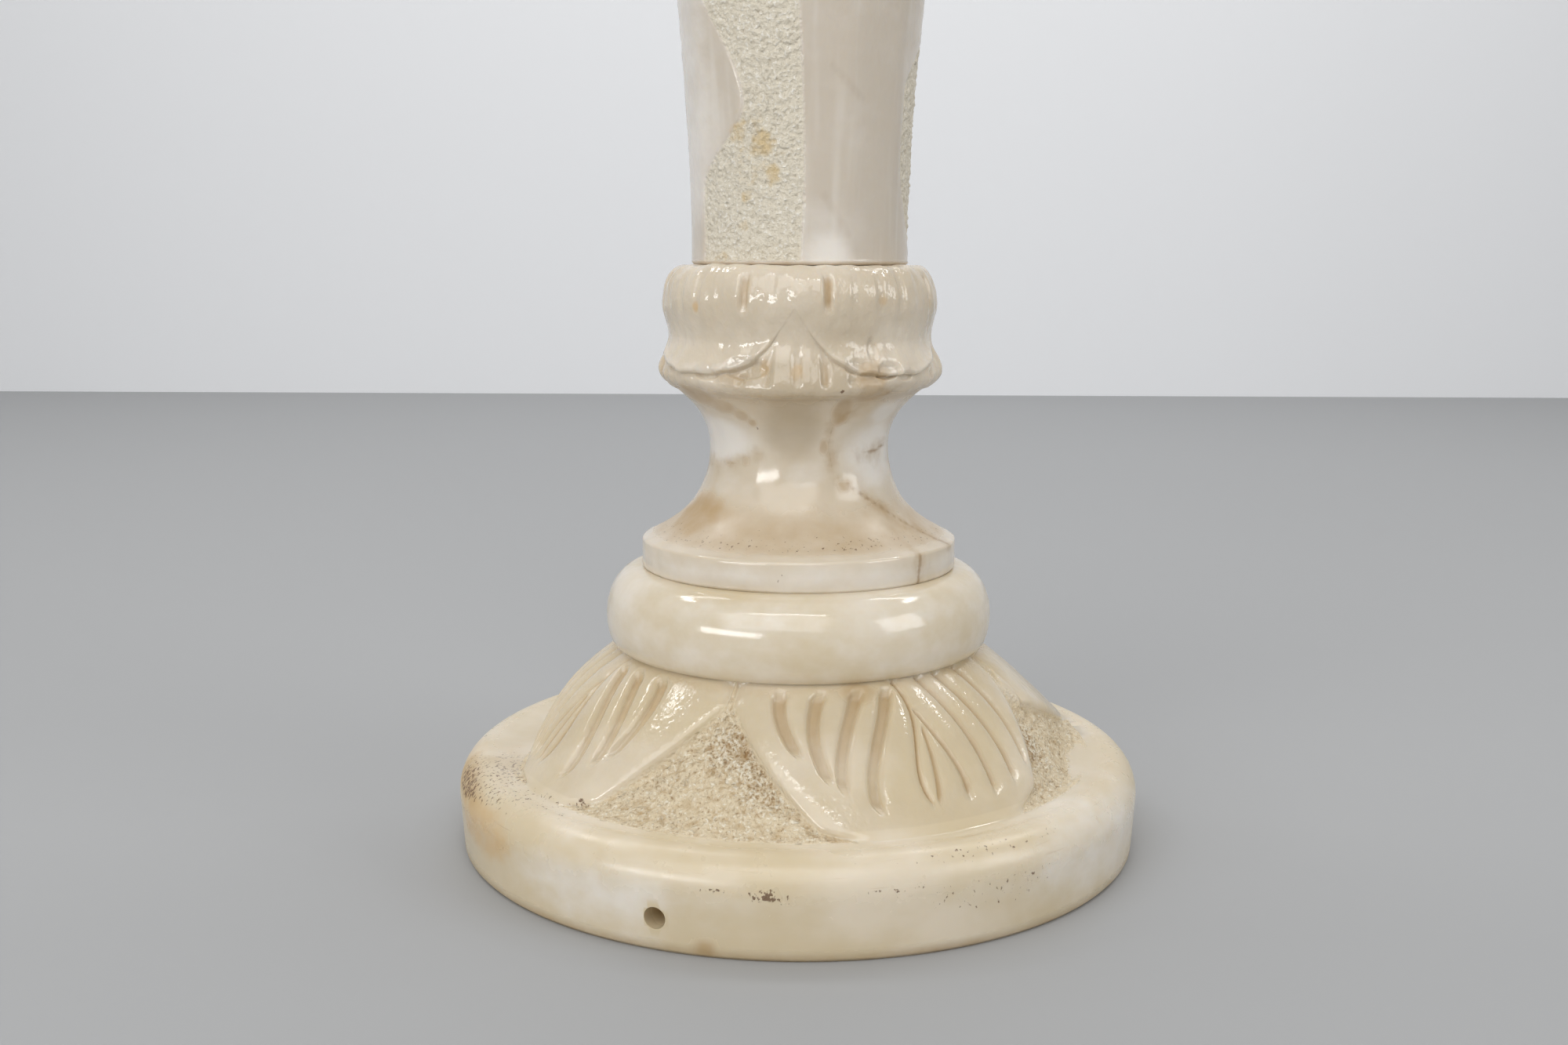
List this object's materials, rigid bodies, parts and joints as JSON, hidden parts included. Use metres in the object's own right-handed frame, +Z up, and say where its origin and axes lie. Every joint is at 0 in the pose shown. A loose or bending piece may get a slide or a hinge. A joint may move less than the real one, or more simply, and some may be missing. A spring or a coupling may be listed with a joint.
{
  "type": "alabaster pedestal column",
  "caption": "Carved alabaster pedestal column: leaf-carved round foot, waisted neck with leaf collar, swelling banded shaft, and a round top plate to stand a vase or lamp on.",
  "frame": {"origin": "middle of the underside of the foot, on the floor", "axes": "+Z up the column's axis; -Y is the front as pictured; +X to the right seen from the front"},
  "size_m": [0.3014, 0.3014, 1],
  "materials": {
    "alabaster_foot": "polished warm cream alabaster with rough stippled ground, stains and specks",
    "alabaster_neck": "polished cream alabaster with milky clouds and brown veins",
    "alabaster_shaft": "polished pale alabaster bands, rough stippled ground between",
    "alabaster_capital": "polished cream alabaster with faint veins",
    "alabaster_plate": "polished cream alabaster"
  },
  "bodies": {
    "root": {"foot": "alabaster_foot", "neck": "alabaster_neck", "shaft": "alabaster_shaft", "capital": "alabaster_capital", "top_plate": "alabaster_plate"}
  },
  "joints": []
}
